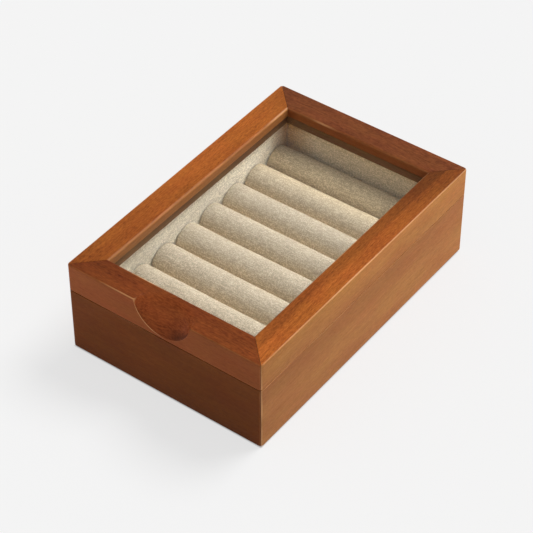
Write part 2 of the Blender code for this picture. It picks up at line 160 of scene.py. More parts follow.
class LinenSettings(bpy.types.PropertyGroup):
    cloth: colour_setting("Linen", "Linen on the rolls", "a29683")
    # Painted shade on the rolls' flanks
    flank: colour_setting("Roll flank", "Greyer linen low on the rolls", "bfae93")
    # Painted shadow of the back rail on the last rolls
    shaded: colour_setting("Shaded linen", "Warmer linen of the last roll, under the hinges",
                           "c0ac8a")
    side_lining: colour_setting("Side lining", "Linen on the long lining boards", "eae2cf")
    # Darker and warmer than the side lining partly as painted shade, since the back rail shades
    # the back board
    end_lining: colour_setting("End lining", "Linen on the short lining boards", "d0bc9a")
    thread: length_setting("Thread spacing", "Distance between threads, coarse enough to see", 1.1)
    slub: length_setting("Slub length", "Length of the thick places in a thread", 4)
    lining_edge: length_setting("Lining edge", "Radius of the cloth over a board's edge", 1.0)
    end_draw: length_setting("End draw", "How far a roll's ends draw in", 0.5)
    foot_radius: length_setting("Foot radius", "Lower edges of a roll", 1.5)
    slack: length_setting("Slack", "How far the cloth may lift off the foam", 0.22)
    unevenness: length_setting("Unevenness", "Soft dents left by the wrapping", 0.5)
    dent_length: length_setting("Dent length", "Distance between those dents", 26)
    seed: IntProperty(name="Seed", description="Pattern of the dents", default=4)


class GlassSettings(bpy.types.PropertyGroup):
    tint: colour_setting("Tint", "Colour of the glass", "fdfdfc")
    arris: length_setting("Arris", "Ground edge of the pane", 0.4)
    refraction: FloatProperty(name="Refraction", description="Index of refraction of the glass",
                              default=1.2, min=1)


class BrassSettings(bpy.types.PropertyGroup):
    leaf: colour_setting("Hinges", "Satin brass of the leaves and pins", "c69a4e")
    screw: colour_setting("Screws", "Brass of the screws", "b5883f")
    edge: length_setting("Edge", "Rounding of the leaves' edges", 0.15)
    slot_width: length_setting("Slot width", "Driver slot of a screw", 0.5)
    slot_depth: length_setting("Slot depth", "Driver slot of a screw", 0.4)
    shank_radius: length_setting("Shank radius", "Screw below its head", 0.7)
    head_height: length_setting("Head height", "Countersunk head of a screw", 0.9)
    tip_length: length_setting("Tip length", "Point of a screw", 1.5)
    seed: IntProperty(name="Seed", description="How the slots are turned", default=7)


class StageSettings(bpy.types.PropertyGroup):
    floor: colour_setting("Floor", "Paper sweep under the box", "f3f3f3")
    lamp: FloatProperty(name="Lamp", description="Strength of the soft key light", default=2.5,
                        min=0)
    lamp_softness: FloatProperty(name="Lamp softness", description="Angle that the lamp fills",
                                 default=math.radians(28), subtype="ANGLE", unit="ROTATION")
    lamp_side: FloatVectorProperty(name="Lamp side", description="Where the lamp stands", size=3,
                                   default=(0.18, 0.5, 0.75), subtype="DIRECTION")
    fill: FloatProperty(name="Fill", description="Light from all round", default=0.4, min=0)
    lift: FloatProperty(name="Shadow lift", description="How far the paper's shadow is lifted",
                        default=0.77, min=0, max=1)
    azimuth: FloatProperty(name="Azimuth", description="Camera's angle round the box",
                           default=math.radians(36.5), subtype="ANGLE", unit="ROTATION")
    elevation: FloatProperty(name="Elevation", description="Camera's angle above the floor",
                             default=math.radians(42.59), subtype="ANGLE", unit="ROTATION")
    distance: FloatProperty(name="Distance", description="From the camera to its aim",
                            default=1.191, subtype="DISTANCE", unit="LENGTH")
    aim: FloatVectorProperty(name="Aim", description="Point that the camera looks at", size=3,
                             default=(2.8 * MM, -9.3 * MM, 32.4 * MM), subtype="TRANSLATION")
    lens: FloatProperty(name="Lens", description="Focal length on a 36 mm sensor",
                        default=139.2)


class RingBoxSettings(bpy.types.PropertyGroup):
    wood: PointerProperty(type=WoodSettings)
    linen: PointerProperty(type=LinenSettings)
    glass: PointerProperty(type=GlassSettings)
    brass: PointerProperty(type=BrassSettings)
    stage: PointerProperty(type=StageSettings)


# Nodes and materials

# Settings that many nodes share: a blend of colours, with its output, and what a sum does
COLOURS = {"out": 2, "data_type": "RGBA"}
TIMES, PLUS, MINUS, LARGER, UNSIGNED, TIMES_PLUS = (
    {"operation": kind}
    for kind in ("MULTIPLY", "ADD", "SUBTRACT", "MAXIMUM", "ABSOLUTE", "MULTIPLY_ADD"))
# Most of a noise lies between these values, and a mask or a wave between the others
NOISE, ALL = (0.3, 0.7), (0, 1)
WHITE = [1, 1, 1]


def fill(node, inputs):
    """Gives a node's inputs their values, or the sockets that feed them."""
    for key, value in inputs.items() if isinstance(inputs, dict) else enumerate(inputs):
        socket = node.inputs[key]
        if isinstance(value, bpy.types.NodeSocket):
            node.id_data.links.new(value, socket)
        elif socket.type == "RGBA" and len(value) == 3:
            socket.default_value = [*value, 1]
        else:
            socket.default_value = value


def add_node(tree, kind, inputs=(), out=0, **settings):
    """Adds a node with its settings and links, and gives one of its outputs.

    inputs are a list in the node's own order, or a dict by name or number. With out=None all
    the outputs are given.
    """
    node = tree.nodes.new(kind if "Node" in kind else "ShaderNode" + kind)
    for name, value in settings.items():
        setattr(node, name, value)
    fill(node, inputs)
    return node.outputs if out is None else node.outputs[out]


def new_material(name):
    """A material, what adds nodes to it and its shader."""
    material = bpy.data.materials.new(name)
    material.use_nodes = True
    tree = material.node_tree
    return material, partial(add_node, tree), tree.nodes["Principled BSDF"]


def in_millimetres(add, coordinates=None, turn=0, offset=(0, 0, 0)):
    """Coordinates, or else the piece's own, in millimetres, turned and shifted."""
    return add("Mapping", {
        "Vector": coordinates or add("TexCoord", out="Object"), "Scale": (1 / MM,) * 3,
        "Rotation": (0, 0, turn), "Location": offset})


def blotches(add, place, sizes, detail, roughness=0.5, distortion=0):
    """A soft pattern whose blotches have these sizes along each axis, in millimetres."""
    spread = add("VectorMath", [place, [1 / size for size in sizes]], **TIMES)
    return add("TexNoise", {"Vector": spread, "Scale": 1, "Detail": detail,
                            "Roughness": roughness, "Distortion": distortion})


def layered(add, *layers):
    """The sum of patterns, each as (pattern, low, high, value at low, value at high)."""
    total = 0
    for layer in layers:
        total = add("Math", [total, add("MapRange", layer)], **PLUS)
    return total


def two_tones(add, shader, tone, dark, pale, relief, depth, strength, others):
    """Colours a shader from dark to pale by tone, and raises it by depth where relief is 1."""
    fill(shader, {
        "Base Color": add("Mix", {0: tone, 6: dark, 7: pale}, **COLOURS),
        "Normal": add("Bump", {"Height": relief, "Distance": depth, "Strength": strength}),
        **others})


def bands_apart(millimetres):
    """The scale at which a Wave node, 20 radians to the unit, has its bands this far apart."""
    return WHOLE_TURN / (20 * millimetres)


def scaled(colour, factor):
    return [min(channel * factor, 1) for channel in colour]


def lacquered_hardwood(name, settings, tones, along_y, offset, look=BoardLook()):
    """Hardwood, stained red-brown and sprayed with satin lacquer.

    The stain gathers in the pores and along the grain, so the eye gets fine dark dashes and soft
    streaks on a warm ground. Its edges are pale, partly where the stain is rubbed thin and partly
    as painted highlights where the lacquered arrises catch the lamp; look adds painted light and
    shade to some sides, and the notch's foot holds painted shadow.
    tones are the colours of the top, the outer side and the inside of the notch.
    """
    material, add, shader = new_material(name)
    own = add("TexCoord", out="Object")
    where = add("SeparateXYZ", [own], out=None)
    ridge, facing, scooped = (add("Attribute", out="Fac", attribute_name=label)
                              for label in WOOD_VALUES)
    on_top = add("Math", [1, facing], **MINUS)

    # Grain, drawn along the board. It sways as it runs
    place = in_millimetres(add, own, RIGHT_ANGLE if along_y else 0, offset)
    sway = add("Math", [blotches(add, place, (90, 12, 12), 2), 7], **TIMES)
    wandering = add("VectorMath", [place, add("CombineXYZ", {"Y": sway, "Z": 30})], **PLUS)
    streak, fibre, pore = (
        (length / MM, width / MM, width / MM) for length, width in (
            (settings.streak_length, settings.streak_width),
            (settings.fibre_length, settings.fibre_width),
            (settings.pore_length, settings.pore_width)))
    streaks = blotches(add, wandering, streak, 4, 0.6)
    fibres = blotches(add, wandering, fibre, 3, 0.6)
    pores = add("MapRange", [blotches(add, wandering, pore, 1), 0.6, 0.72])
    clouds = blotches(add, place, (42, 15, 15), 3)
    patches = blotches(add, place, (26, 11, 11), 2)
    rings = add("TexWave", {
        "Vector": wandering, "Scale": bands_apart(settings.ring_spacing / MM),
        "Distortion": 6, "Detail": 3, "Detail Scale": 0.9, "Detail Roughness": 0.6},
        out="Fac", wave_type="RINGS", rings_direction="X", wave_profile="SAW")
    grain = layered(add, (streaks, *NOISE, 0.05, 0.35), (fibres, *NOISE, -0.1, 0.5),
                    (clouds, *NOISE, -0.08, 0.2), (rings, *ALL, 0, 0.1), (pores, *ALL, 0, -0.2))

    # Stain, with painted shadow at the foot of the notch on the side away from the lamp
    top, side, scoop = tones
    outside = add("Mix", {0: facing, 6: top, 7: side}, **COLOURS)
    low_in_notch = add("MapRange", [scooped, 0.72, 0.92])
    away_from_lamp = add("MapRange", [where["X"], -2 * MM, 10 * MM, 0.2, 0.8])
    painted_notch_shadow = add("Math", [low_in_notch, away_from_lamp], **TIMES)
    notch_in_shadow = add("Mix", {0: painted_notch_shadow, 6: scoop, 7: scaled(scoop, 0.35)}, **COLOURS)
    stain = add("Mix", {0: add("MapRange", [scooped, 0, 0.5]), 6: outside, 7: notch_in_shadow}, **COLOURS)

    # Tints that it is multiplied by: golden patches, the grain's own depth, and what look says,
    # among them painted shade under the seam and painted light above it
    golden = add("Mix", {0: add("MapRange", [patches, 0.35, 0.65]), 6: [1, 0.95, 0.94],
                         7: [1.02, 1.08, 1]}, **COLOURS)
    strong = add("Mix", {0: grain, 6: [0.5, 0.42, 0.36], 7: [1.48, 1.58, 1.64]}, **COLOURS)
    gentle = add("Mix", {0: grain, 6: [0.78, 0.74, 0.7], 7: [1.2, 1.24, 1.26]}, **COLOURS)
    depth = add("Mix", {0: facing, 6: strong, 7: gentle}, **COLOURS)
    half = half_length if along_y else half_width
    end = add("MapRange", [where["Y" if along_y else "X"], -half, half, -1, 1])
    drift = add("Mix", {0: facing, 2: look.top_drift, 3: look.side_drift})
    shading = add("Math", [end, drift, 1], **TIMES_PLUS)
    inner_line = half_width - 9.5 * MM
    beyond = add("Math", [where["X"]], **UNSIGNED)
    inner = add("MapRange", [beyond, inner_line + MM, inner_line - MM, 0, look.inner_shade])
    far = add("MapRange", [end, look.far_start, 0.85, 0, look.far_shade])
    shade = add("Math", [on_top, far, inner], **TIMES_PLUS)
    shading = add("Math", [shading, shade], **MINUS)
    # Painted shade on the base just under the seam, and painted light on the lid above it
    banding = add("Math", [facing, look.banding], **TIMES)
    below_seam = add("MapRange", [where["Z"], lid_low, rim_height])
    near_seam = add("MapRange", [where["Z"], rim_height - 18 * MM, rim_height - 10 * MM])
    painted_rim_shade = add("Math", [below_seam, near_seam], **TIMES)
    painted_lid_light = add("MapRange", [where["Z"], lid_low + 4 * MM, lid_top - 3 * MM])
    bands = WHITE
    for band, tint in ((painted_rim_shade, [0.91, 0.85, 0.85]), (painted_lid_light, [1.11, 1.16, 1.08])):
        share = add("Math", [banding, band], **TIMES)
        bands = add("Mix", {0: share, 6: bands, 7: tint}, **COLOURS)
    for tint in (golden, depth, shading, bands):
        stain = add("VectorMath", [stain, tint], **TIMES)

    # Edges: partly rubbed by use and partly painted highlights where the lacquered arrises catch
    # the lamp, with painted glints along stretches of the window's and the outer edge. The corners
    # of the notch count as edges, and the notch's lit left edge gets a painted highlight
    wear_and_glint = add("MapRange", [clouds, 0.35, 0.65, 0.15 * look.rub, 0.5 * look.rub])
    sharp = add("Math", [ridge, 3], operation="POWER")
    rubbed = add("Math", [sharp, wear_and_glint], **TIMES)
    width_axis, outer_face = ("X", half_width) if along_y else ("Y", half_length)
    inner_face = outer_face - rail_width
    across = add("Math", [where[width_axis]], **UNSIGNED)
    window = add("MapRange", [across, inner_face + 3.5 * MM, inner_face + 2.5 * MM])
    from_glint, from_outer_glint = (
        add("Math", [add("Math", [end, polish], **MINUS)], **UNSIGNED)
        for polish in (look.polish, look.outer_polish))
    # Painted highlight: a short bright stretch of the window's edge where the lamp would glint
    gloss = add("MapRange", [from_glint, 0.16, 0.04, 0.25, 1.5])
    painted_glint = add("Math", [rubbed, gloss], **TIMES)
    rubbed = add("Mix", {0: window, 2: rubbed, 3: painted_glint})
    # Painted light on the rail's inner face, drawn in the pale edge colour
    inside = add("MapRange",
                 [across, inner_face + 0.9 * MM, inner_face + 0.2 * MM, 0, look.inside])
    rubbed = add("Math", [rubbed, inside], **PLUS)
    # Painted highlight along the top's outer edge, near outer_polish
    outer = add("MapRange", [from_outer_glint, 0.3, 0.06, 0, 0.9])
    outer = add("Math", [outer, on_top], **TIMES)
    blunt = add("Math", [ridge, ridge], **TIMES)
    rubbed = add("Math", [outer, blunt, rubbed], **TIMES_PLUS)
    # Painted highlight on the notch's left edge, which faces the lamp
    in_notch = add("MapRange", [scooped, 0, 0.3])
    on_lit_side = add("MapRange", [where["X"], 2 * MM, -8 * MM, 0, 0.6])
    notch_edge_highlight = add("Math", [in_notch, on_lit_side], **TIMES)
    rubbed = add("Math", [ridge, notch_edge_highlight, rubbed], **TIMES_PLUS)

    relief = layered(add, (streaks, *ALL, 0, 0.6), (pores, *ALL, 0, -1))
    two_tones(add, shader, rubbed, stain, settings.worn, relief, 0.04 * MM, 0.5, {
        "Roughness": add("MapRange", [streaks, *NOISE, 0.48, 0.38]),
        "Specular IOR Level": add("MapRange", [rubbed, 0, 0.5, 0.06, 0.45])})
    return material


def woven_linen(name, settings, colour, shades):
    """Plain-woven linen, undyed, wrapped over foam or board.

    Its threads differ in thickness, so the eye gets a fine grid with long pale and dark slubs
    both ways, and no gloss. The threads are drawn wider than the real 0.4 mm, so that they show.
    It is blotched where hands reached it, and it carries painted shade: shades are (colour, axis,
    place where it starts, place where it is complete).
    """
    material, add, shader = new_material(name)
    place = in_millimetres(add, add("UVMap", uv_map="cloth"))
    spacing = settings.thread / MM
    slub = settings.slub / MM
    warp, weft = (
        add("TexWave", {"Vector": place, "Scale": bands_apart(spacing), "Distortion": 0.25,
                        "Detail": 1, "Detail Scale": 2},
            out="Fac", wave_type="BANDS", bands_direction=direction) for direction in "XY")
    over = add("TexChecker", {"Vector": place, "Scale": 1 / spacing}, out="Fac")
    weave = add("Mix", {0: over, 2: warp, 3: weft})
    along = blotches(add, place, (slub, spacing, 1), 2, 0.6)
    across = blotches(add, place, (spacing, slub * 0.6, 1), 2, 0.6)
    lint = blotches(add, place, (spacing * 0.75,) * 3, 1)
    handling = blotches(add, place, (22, 14, 1), 2)
    tone = layered(add, (along, *NOISE, -0.25, 0.55), (across, *NOISE, -0.2, 0.35),
                   (lint, *NOISE, -0.5, 0.5), (weave, *ALL, 0, 0.25),
                   (handling, *NOISE, -0.08, 0.08))
    threads = add("Mix", {0: tone, 6: [0.71, 0.7, 0.68], 7: [1.25, 1.26, 1.27]}, **COLOURS)
    where = add("SeparateXYZ", [add("TexCoord", out="Object")], out=None)
    ground = colour
    for shade, axis, start, end in shades:
        share = add("MapRange", [where[axis], start, end])
        ground = add("Mix", {0: share, 6: ground, 7: shade}, **COLOURS)
    relief = layered(add, *((pattern, *ALL, *ALL) for pattern in (weave, along, across)))
    fill(shader, {
        "Base Color": add("VectorMath", [ground, threads], **TIMES),
        "Roughness": 0.92, "Specular IOR Level": 0.2,
        "Sheen Weight": 0.05, "Sheen Roughness": 0.6, "Sheen Tint": colour,
        "Normal": add("Bump", {"Height": relief, "Distance": 0.08 * MM, "Strength": 0.5})})
    return material


def float_glass(name, settings):
    """Clear float glass, 2 mm thick, with ground edges: almost no colour, sharp reflections.

    Lamps shine straight through it on to the linen. Its index of refraction is lower than the
    real 1.5, because the glass in the photograph mirrors nothing.
    """
    material, add, shader = new_material(name)
    smears = blotches(add, in_millimetres(add), (60, 25, 25), 3)
    fill(shader, {
        "Base Color": settings.tint, "IOR": settings.refraction, "Transmission Weight": 1,
        "Roughness": add("MapRange", [smears, 0.45, 0.8, 0, 0.02])})
    clear = add("BsdfTransparent", {"Color": settings.tint})
    lamp_ray = add("LightPath", out="Is Shadow Ray")
    fill(material.node_tree.nodes["Material Output"],
         {"Surface": add("MixShader", [lamp_ray, shader.outputs["BSDF"], clear])})
    return material


def satin_brass(name, colour):
    """Cast brass, brushed along the hinge: warm metal with fine lines and a soft shine."""
    material, add, shader = new_material(name)
    place = in_millimetres(add)
    brushing = blotches(add, place, (7, 0.12, 0.12), 3)
    tarnish = blotches(add, place, (5, 5, 5), 4)
    tone = layered(add, (brushing, *NOISE, 0, 0.4), (tarnish, 0.35, 0.65, 0, 0.6))
    two_tones(add, shader, tone, scaled(colour, 0.74), scaled(colour, 1.1), brushing,
              0.01 * MM, 0.5,
              {"Metallic": 1, "Roughness": add("MapRange", [tarnish, *NOISE, 0.42, 0.24])})
    return material


def wool_felt(name):
    """Pressed wool felt, brown-black: short matted fibres and no shine."""
    material, add, shader = new_material(name)
    fibres = blotches(add, in_millimetres(add), (0.5, 1.4, 0.6), 5, 0.7, 1.2)
    two_tones(add, shader, fibres, linear("1d1816"), linear("4a3f39"), fibres, 0.3 * MM, 0.7,
              {"Roughness": 0.97, "Sheen Weight": 0.2})
    return material


def grey_board(name):
    """Uncoated grey board: pulp flecks on a matte ground."""
    material, add, shader = new_material(name)
    flecks = blotches(add, in_millimetres(add), (1.1, 0.5, 0.5), 4, 0.7)
    two_tones(add, shader, flecks, linear("756b5d"), linear("a59a88"), flecks, 0.05 * MM, 0.5,
              {"Roughness": 0.9})
    return material


def open_foam(name):
    """Polyurethane foam, cut from a block: small open cells, matte."""
    material, add, shader = new_material(name)
    cells = add("TexVoronoi", {"Vector": in_millimetres(add), "Scale": 1.2})
    two_tones(add, shader, cells, linear("4f4b46"), linear("8d877e"), cells, 0.3 * MM, 0.8,
              {"Roughness": 0.95})
    return material


def birch_plywood(name):
    """Birch plywood, sanded and left bare: pale, with faint flames and short dark flecks."""
    material, add, shader = new_material(name)
    place = in_millimetres(add)
    flames = blotches(add, place, (9, 70, 9), 5, 0.6, 0.8)
    flecks = blotches(add, place, (0.5, 4, 0.5), 2)
    tone = layered(add, (flames, *NOISE, 0, 1), (flecks, 0.62, 0.7, 0, -0.4))
    two_tones(add, shader, tone, linear("9c7448"), linear("cfa878"), flames, 0.03 * MM, 0.4,
              {"Roughness": 0.7})
    return material


# Meshes

# What each point of the wood knows of itself, for its finish
WOOD_VALUES = ("ridge", "side", "scoop")
ARRIS_STEPS = 6
ARRIS_POINTS = ARRIS_STEPS + 1


def evaluated_mesh(obj):
    """The object's mesh with its modifiers applied, as a mesh of its own."""
    bpy.context.view_layer.update()
    shown = obj.evaluated_get(bpy.context.evaluated_depsgraph_get())
    return bpy.data.meshes.new_from_object(shown)


def scene_object(name, mesh):
    obj = bpy.data.objects.new(name, mesh)
    bpy.context.scene.collection.objects.link(obj)
    return obj


def mesh_from(bm, name):
    """The mesh of a bmesh, which is then freed."""
    mesh = bpy.data.meshes.new(name)
    bm.to_mesh(mesh)
    bm.free()
    return mesh


def add_piece(name, mesh, finish, body, replaced, slot):
    """A finished piece: its place is in its mesh, and it rides with its body."""
    mesh.materials.clear()
    mesh.materials.append(finish)
    obj = scene_object(name, mesh)
    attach(obj, body)
    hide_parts(*replaced)
    return obj


def smooth_but_crisp(obj, angle=math.radians(32)):
    """Round stretches shade round and flat faces shade flat."""
    obj.data.shade_smooth()
    obj.data.set_sharp_from_angle(angle=angle)
    weighted = obj.modifiers.new("flat_faces", "WEIGHTED_NORMAL")
    weighted.keep_sharp = True


def arc_points(before, corner, after, radius, steps):
    """Points that turn a corner of an outline by an arc, each with how far round it is."""
    here, back, ahead = Vector(corner), Vector(before), Vector(after)
    back, ahead = (back - here).normalized(), (ahead - here).normalized()
    half = back.angle(ahead) / 2
    centre = here + (back + ahead).normalized() * radius / math.sin(half)
    start = here + back * radius / math.tan(half) - centre
    end = here + ahead * radius / math.tan(half) - centre
    first = math.atan2(start.y, start.x)
    turn = (math.atan2(end.y, end.x) - first + math.pi) % WHOLE_TURN - math.pi
    points = []
    for step in range(steps + 1):
        share = step / steps
        angle = first + turn * share
        points.append((centre.x + radius * math.cos(angle), centre.y + radius * math.sin(angle),
                       4 * share * (1 - share), abs(math.cos(angle)), 0))
    return points


def outline_of(corners):
    """A closed section from (inward, height, radius) corners.

    Each of its points is (inward, height, ridge, side, scoop). ridge is 1 in the middle of an
    arris, side is 1 where the wood faces sideways and 0 where it faces up or down, and scoop
    falls from 1 at the foot of the finger notch to 0 at its far edge.
    """
    outline = []
    for number, (inward, height, radius) in enumerate(corners):
        before, after = corners[number - 1], corners[(number + 1) % len(corners)]
        if radius:
            outline += arc_points(before[:2], (inward, height), after[:2], radius, ARRIS_STEPS)
        else:
            outline.append((inward, height, 0, 1, 0))
    return outline


def loft(name, rings):
    """A closed solid through rings of (x, y, z, ridge, side, scoop) points."""
    bm = bmesh.new()
    layers = [bm.verts.layers.float.new(label) for label in WOOD_VALUES]
    rows = []
    for ring in rings:
        row = []
        for x, y, z, *values in ring:
            vert = bm.verts.new((x, y, z))
            for layer, value in zip(layers, values):
                vert[layer] = value
            row.append(vert)
        rows.append(row)
    for one, two in zip(rows, rows[1:]):
        for i, vert in enumerate(one):
            bm.faces.new((one[i - 1], vert, two[i], two[i - 1]))
    bm.faces.new(rows[0])
    bm.faces.new(rows[-1])
    bmesh.ops.remove_doubles(bm, verts=bm.verts, dist=0.001 * MM)
    bmesh.ops.recalc_face_normals(bm, faces=bm.faces)
    return mesh_from(bm, name)


def turned_ring(ring, side):
    """A ring drawn for the front, as (along, y, ...), turned to its own side of the box."""
    turn = SIDE_TURNS[side]
    cos, sin = round(math.cos(turn)), round(math.sin(turn))
    return [(cos * x - sin * y, sin * x + cos * y, *rest) for x, y, *rest in ring]


def mitred_piece(name, side, outline, edges, corner_radius, gap, stations=()):
    """One side of a mitred frame.

    outline is its section. edges holds half the width and half the length of the frame.
    stations are (along, outline) sections between the ends, from left to right, seen from
    outside.
    """
    half, setback = edges if side in SHORT_SIDES else edges[::-1]
    turn_steps = 4

    def end_ring(sense, turn):
        ring = []
        for inward, height, ridge, *values in outline:
            reach = max(corner_radius - inward, 0)
            along = half - max(corner_radius, inward) + reach * math.sin(turn)
            depth = inward + reach * (1 - math.cos(turn))
            along = min(along, half - depth - gap / math.sqrt(2))
            bent = min(1.5 * turn / EIGHTH_TURN, 1) * reach / corner_radius if reach else 0
            ring.append((sense * along, depth - setback, height, max(ridge, bent), *values))
        return ring

    turns = [EIGHTH_TURN * step / turn_steps for step in range(turn_steps + 1)]
    rings = [end_ring(-1, turn) for turn in reversed(turns)]
    for along, section in stations:
        rings.append([(along, inward - setback, height, *values)
                      for inward, height, *values in section])
    rings += [end_ring(1, turn) for turn in turns]
    return loft(name, [turned_ring(ring, side) for ring in rings])


def rounded_block(name, low, high, radius, steps):
    """A block between two corners with all its edges rounded."""
    bm = bmesh.new()
    bmesh.ops.create_cube(bm, size=1)
    bmesh.ops.scale(bm, vec=high - low, verts=bm.verts)
    bmesh.ops.translate(bm, vec=(high + low) / 2, verts=bm.verts)
    bmesh.ops.bevel(bm, geom=bm.edges[:], offset=radius, segments=steps, profile=0.5,
                    affect="EDGES")
    bmesh.ops.recalc_face_normals(bm, faces=bm.faces)
    return mesh_from(bm, name)


def merged_copy(node, name):
    """A copy of a node's mesh with its loose triangles joined and its flat faces whole."""
    bm = bmesh.new()
    bm.from_mesh(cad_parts[node].data)
    bmesh.ops.remove_doubles(bm, verts=bm.verts, dist=0.002 * MM)
    bmesh.ops.dissolve_limit(bm, angle_limit=math.radians(1), verts=bm.verts, edges=bm.edges)
    mesh = mesh_from(bm, name)
    for layer in list(mesh.uv_layers):
        mesh.uv_layers.remove(layer)
    return mesh


def lay_cloth(mesh, unroll):
    """Stores where each corner lies on the flat cloth, in metres."""
    layer = mesh.uv_layers.new(name="cloth")
    for polygon in mesh.polygons:
        for loop in polygon.loop_indices:
            point = mesh.vertices[mesh.loops[loop].vertex_index].co
            layer.data[loop].uv = unroll(point, polygon.normal)


def over_a_board(point, normal):
    """Cloth that is pulled flat over each face of a board."""
    if abs(normal.z) > max(abs(normal.x), abs(normal.y)):
        return point.x, point.y
    if abs(normal.x) > abs(normal.y):
        return point.y, point.z
    return point.x, point.z


# Sections of the wood

def path_round(start, corner, end, radius):
    """Part of a section: straight from start, round a corner and straight to end."""
    first, last = (*start, 0, 1, 0), (*end, 0, 0, 0)
    return [first] + arc_points(start, corner, end, radius, ARRIS_STEPS) + [last]


def path_into_pocket(start, inner, end, count):
    """As many points as path_round gives, but cut back to an inner corner."""
    half = count // 2
    points = []
    for number in range(count):
        if number <= half:
            one, two, share = start, inner, number / half
        else:
            one, two, share = inner, end, (number - half) / (count - 1 - half)
        points.append((one[0] + (two[0] - one[0]) * share,
                       one[1] + (two[1] - one[1]) * share, 0, 1, 0))
    return points


def pockets(leaf, floor_side):
    """(stations' places, depth, reach) of the pockets that take the hinges' leaves."""
    spans = []
    for side in HINGE_SIDES:
        low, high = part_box(leaf.format(side))
        spans.append((low.x - FIT_GAP, high.x + FIT_GAP))
    floor = low.z - FIT_GAP if floor_side < 0 else high.z + FIT_GAP
    reach = half_length - low.y + FIT_GAP
    return sorted(spans), floor, reach


def pocket_stations(spans, plain, cut):
    stations = []
    for start, end in spans:
        stations += [(start, plain), (start, cut), (end, cut), (end, plain)]
    return stations


def wall_section(settings):
    """Corners of a base wall, from its foot up the outside, over the rim and down inside."""
    return [
        (0, wall_low, settings.foot_arris),
        (0, rim_height, settings.seam_arris),
        (wall_thickness, rim_height, settings.seam_arris),
        (wall_thickness, panel_ceiling, 0),
        (wall_thickness - panel_rebate, panel_ceiling, 0),
        (wall_thickness - panel_rebate, wall_low, 0),
    ]


def rail_section(settings):
    """Corners of a lid rail after its top outer edge, round to its outer face again."""
    return [
        (rail_width, lid_top, settings.window_arris),
        (rail_width, ledge_height, settings.seam_arris),
        (wall_thickness, ledge_height, 0),
        (wall_thickness, lid_low, settings.seam_arris),
        (0, lid_low, settings.seam_arris),
    ]


def arc(x, y, radius, first, last, steps):
    """Points round a centre, from one angle to another."""
    turns = (first + (last - first) * i / steps for i in range(steps + 1))
    return [(x + radius * math.cos(a), y + radius * math.sin(a)) for a in turns]


class Notch:
    """The finger notch, which rises at one slope from the front face into the top.

    On the front face it is an arc between two round shoulders.
    """

    def __init__(self, settings):
        self.arris = settings.notch_arris
        self.ease = settings.notch_ease
        drop = lid_top - lid_low - settings.notch_lip
        self.slope = math.atan2(settings.notch_reach, drop)
        chord, shoulder = settings.notch_width, settings.notch_shoulder
        radius = ((chord / 2) ** 2 + drop ** 2) / (2 * drop)
        centre = lid_top + radius - drop
        between = radius + shoulder
        turn = math.asin((centre - lid_top + shoulder) / between)
        edge = between * math.cos(turn)
        shoulder_steps, bottom_steps = 12, 64
        right = arc(edge, lid_top - shoulder, shoulder, RIGHT_ANGLE, math.pi - turn,
                    shoulder_steps)
        bottom = arc(0, centre, radius, -turn, turn - math.pi, bottom_steps)
        left = [(-along, height) for along, height in reversed(right)]
        self.outline = (right + bottom[1:-1] + left)[::-1]

    def corner(self, depth, arris):
        """The rail's top outer corner, from its outer face to its top, cut down by depth."""
        steps_low, steps_between, steps_high = 6, 5, 10
        low_turn, high_turn = self.slope, RIGHT_ANGLE - self.slope
        reach_low, reach_high = math.tan(low_turn / 2), math.tan(high_turn / 2)
        least = arris * (reach_low + reach_high)
        length = max(depth / math.cos(self.slope), least)
        cut = min((length - least) / (4 * least), 1)
        low_radius = arris + (self.arris - arris) * cut
        high_radius = min(self.ease, (length - low_radius * reach_low) / reach_high)
        foot = (0, lid_top - length * math.cos(self.slope))
        head = (length * math.sin(self.slope), lid_top)
        lower = arc_points((0, lid_low), foot, head, low_radius, steps_low)
        upper = arc_points(foot, head, (rail_width, lid_top), high_radius, steps_high)

        points = []
        for number, (inward, height, ridge, *_) in enumerate(lower):
            turned = number / steps_low
            plain = turned * low_turn / RIGHT_ANGLE
            ridge = 4 * plain * (1 - plain) * (1 - cut) + ridge * cut
            side = (1 - plain) * (1 - cut) + (1 - turned) * cut
            points.append((inward, height, ridge, side, turned * cut))
        *foot_end, ridge, side, scoop = points[steps_low]
        for number in range(1, steps_between):
            share = number / steps_between
            points.append(tuple(a + (b - a) * share for a, b in zip(foot_end, upper[0][:2]))
                          + (ridge, side, scoop * (1 - share / 2)))
        for number, (inward, height, *_) in enumerate(upper):
            turned = number / steps_high
            plain = (low_turn + high_turn * turned) / RIGHT_ANGLE
            points.append((inward, height, 4 * plain * (1 - plain) * (1 - cut),
                           (1 - plain) * (1 - cut), (1 - turned) * cut / 2))
        return points


# How much a rail's inner face takes after the paler tone of its outer one. The back rail's full
# share is painted light on a face turned from the lamp
INNER_SIDE, BACK_INNER_PAINTED_LIGHT = 0.2, 1


def lid_rail_outline(settings, notch, depth, inner_side):
    """The section of a lid rail where the notch cuts it down by depth."""
    rest = outline_of([(0, lid_top, 0)] + rail_section(settings))[1:]
    inner = [(inward, height, ridge, side * (inner_side if inward > wall_thickness else 1), scoop)
             for inward, height, ridge, side, scoop in rest]
    return notch.corner(depth, settings.top_arris) + inner


# Pieces of wood

